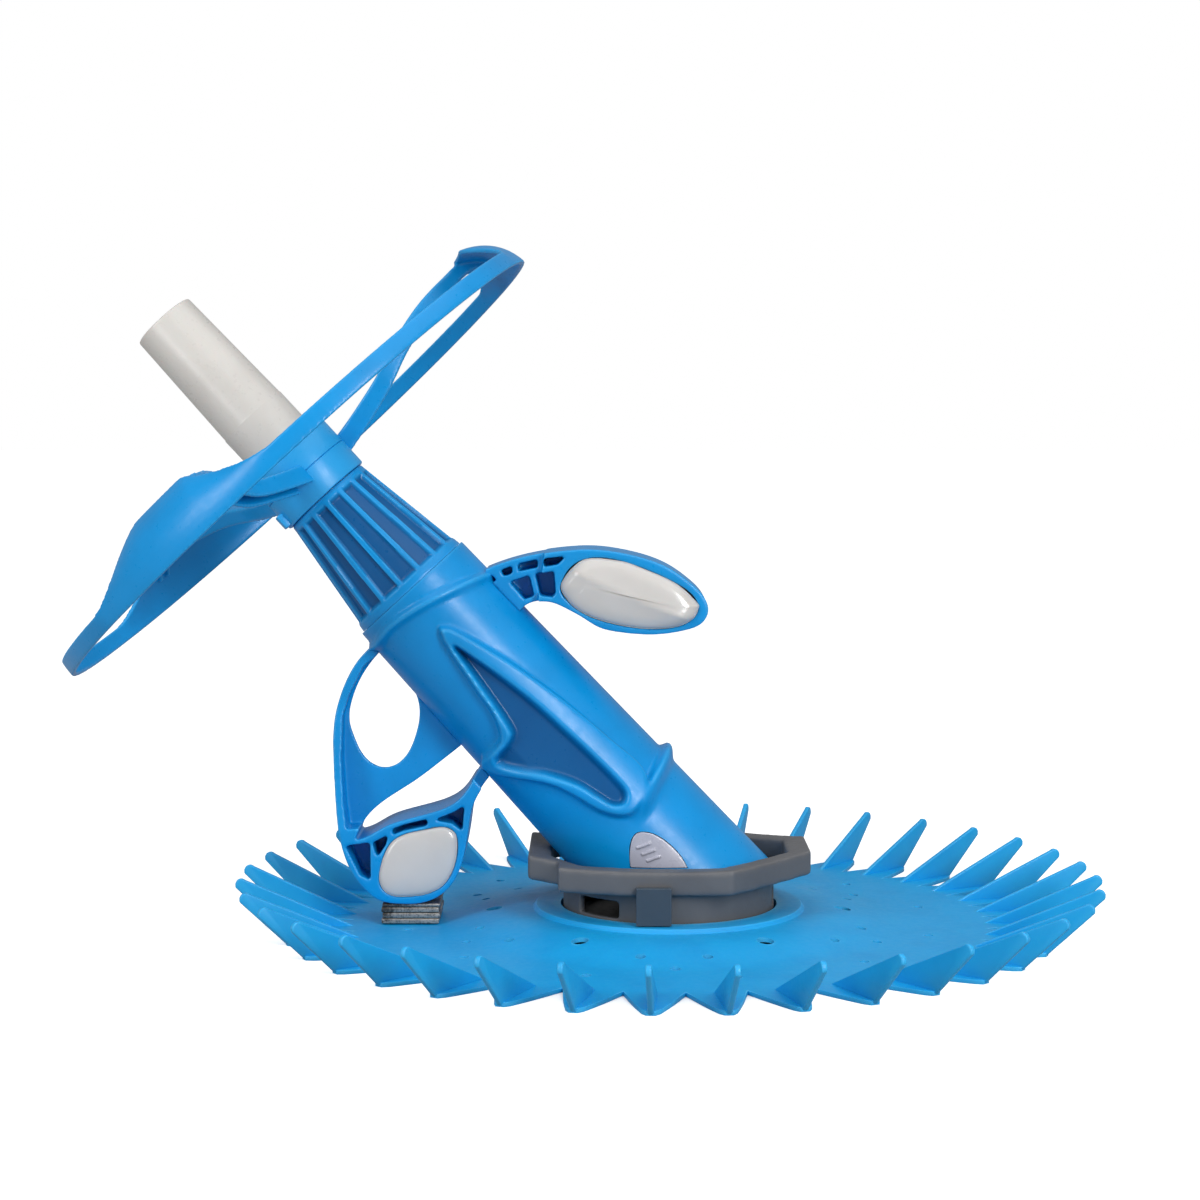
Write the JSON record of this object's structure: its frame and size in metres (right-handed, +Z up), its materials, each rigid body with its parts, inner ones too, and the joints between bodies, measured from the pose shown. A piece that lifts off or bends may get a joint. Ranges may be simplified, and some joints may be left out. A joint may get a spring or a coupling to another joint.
{
  "type": "pool cleaner",
  "caption": "Disc-type suction pool cleaner: finned flexible disc, slanted body tube with a diaphragm, bumpers and handle, deflector wheel and swivelling hose tail.",
  "frame": {"origin": "centre of the suction mouth on the floor plane, which is the disc's spin axis", "axes": "+Z up, -X towards the hose tail, +X the way the cleaner drives, Y across"},
  "size_m": [0.545, 0.4566, 0.3587],
  "materials": {
    "body_blue": "satin, finely textured",
    "disc_blue": "satin, slightly translucent",
    "foot_grey": "matte",
    "hook_grey": "matte",
    "cover_white": "glossy",
    "connector_white": "satin",
    "latch_silver": "satin",
    "plate_steel": "speckled galvanised",
    "inner_black": "matte",
    "rubber_black": "matte",
    "foam": "closed-cell foam",
    "spring_steel": "rolled"
  },
  "bodies": {
    "chassis": {"body_tube": "body_blue", "bumper_frame": "body_blue", "upper_handle": "body_blue", "float_block": "foam", "weight_block": "plate_steel", "ballast_plates": "plate_steel", "foot_ring": "foot_grey", "foot_skirt": "foot_grey", "foot_seal": "rubber_black", "foot_hooks": "hook_grey", "latch_springs": "spring_steel", "outer_pipe": "inner_black", "inner_pipe": "inner_black", "thrust_washer": "inner_black", "cassette": "inner_black", "diaphragm": "rubber_black", "diaphragm_ring": "inner_black", "pipe_gasket": "rubber_black", "pipe_coupler": "inner_black", "float_cover_near": "cover_white", "float_cover_far": "cover_white", "weight_cover_near": "cover_white", "weight_cover_far": "cover_white"},
    "disc": {"finned_disc": "disc_blue", "disc_fins": "disc_blue"},
    "collar": {"twist_collar": "body_blue"},
    "wheel": {"deflector_hub": "body_blue", "deflector_rim_1": "body_blue", "deflector_rim_2": "body_blue", "deflector_rim_3": "body_blue", "deflector_spoke_1": "body_blue", "deflector_spoke_2": "body_blue", "deflector_spoke_3": "body_blue"},
    "connector": {"hose_connector": "connector_white"},
    "latch_near": {"latch_near": "latch_silver"},
    "latch_far": {"latch_far": "latch_silver"}
  },
  "joints": [
    {"name": "disc_spin", "type": "hinge", "parent": "chassis", "child": "disc", "pos_m": [0, 0, 0], "axis": [0, 0, 1], "continuous": true},
    {"name": "wheel_spin", "type": "hinge", "parent": "chassis", "child": "wheel", "pos_m": [-0.19108, 0, 0.23896], "axis": [-0.6778, 0, 0.7353], "continuous": true},
    {"name": "connector_swivel", "type": "hinge", "parent": "chassis", "child": "connector", "pos_m": [-0.20802, 0, 0.25734], "axis": [-0.6778, 0, 0.7353], "continuous": true},
    {"name": "collar_twist", "type": "hinge", "parent": "chassis", "child": "collar", "pos_m": [-0.1538, 0, 0.19852], "axis": [-0.6778, 0, 0.7353], "range_deg": [0, 40]},
    {"name": "latch_near_press", "type": "slide", "parent": "chassis", "child": "latch_near", "axis": [0, 1, 0], "range_m": [0, 0.003], "stiffness_N_per_m": 600, "springref_m": -0.001},
    {"name": "latch_far_press", "type": "slide", "parent": "chassis", "child": "latch_far", "axis": [0, -1, 0], "range_m": [0, 0.003], "stiffness_N_per_m": 600, "springref_m": -0.001}
  ]
}
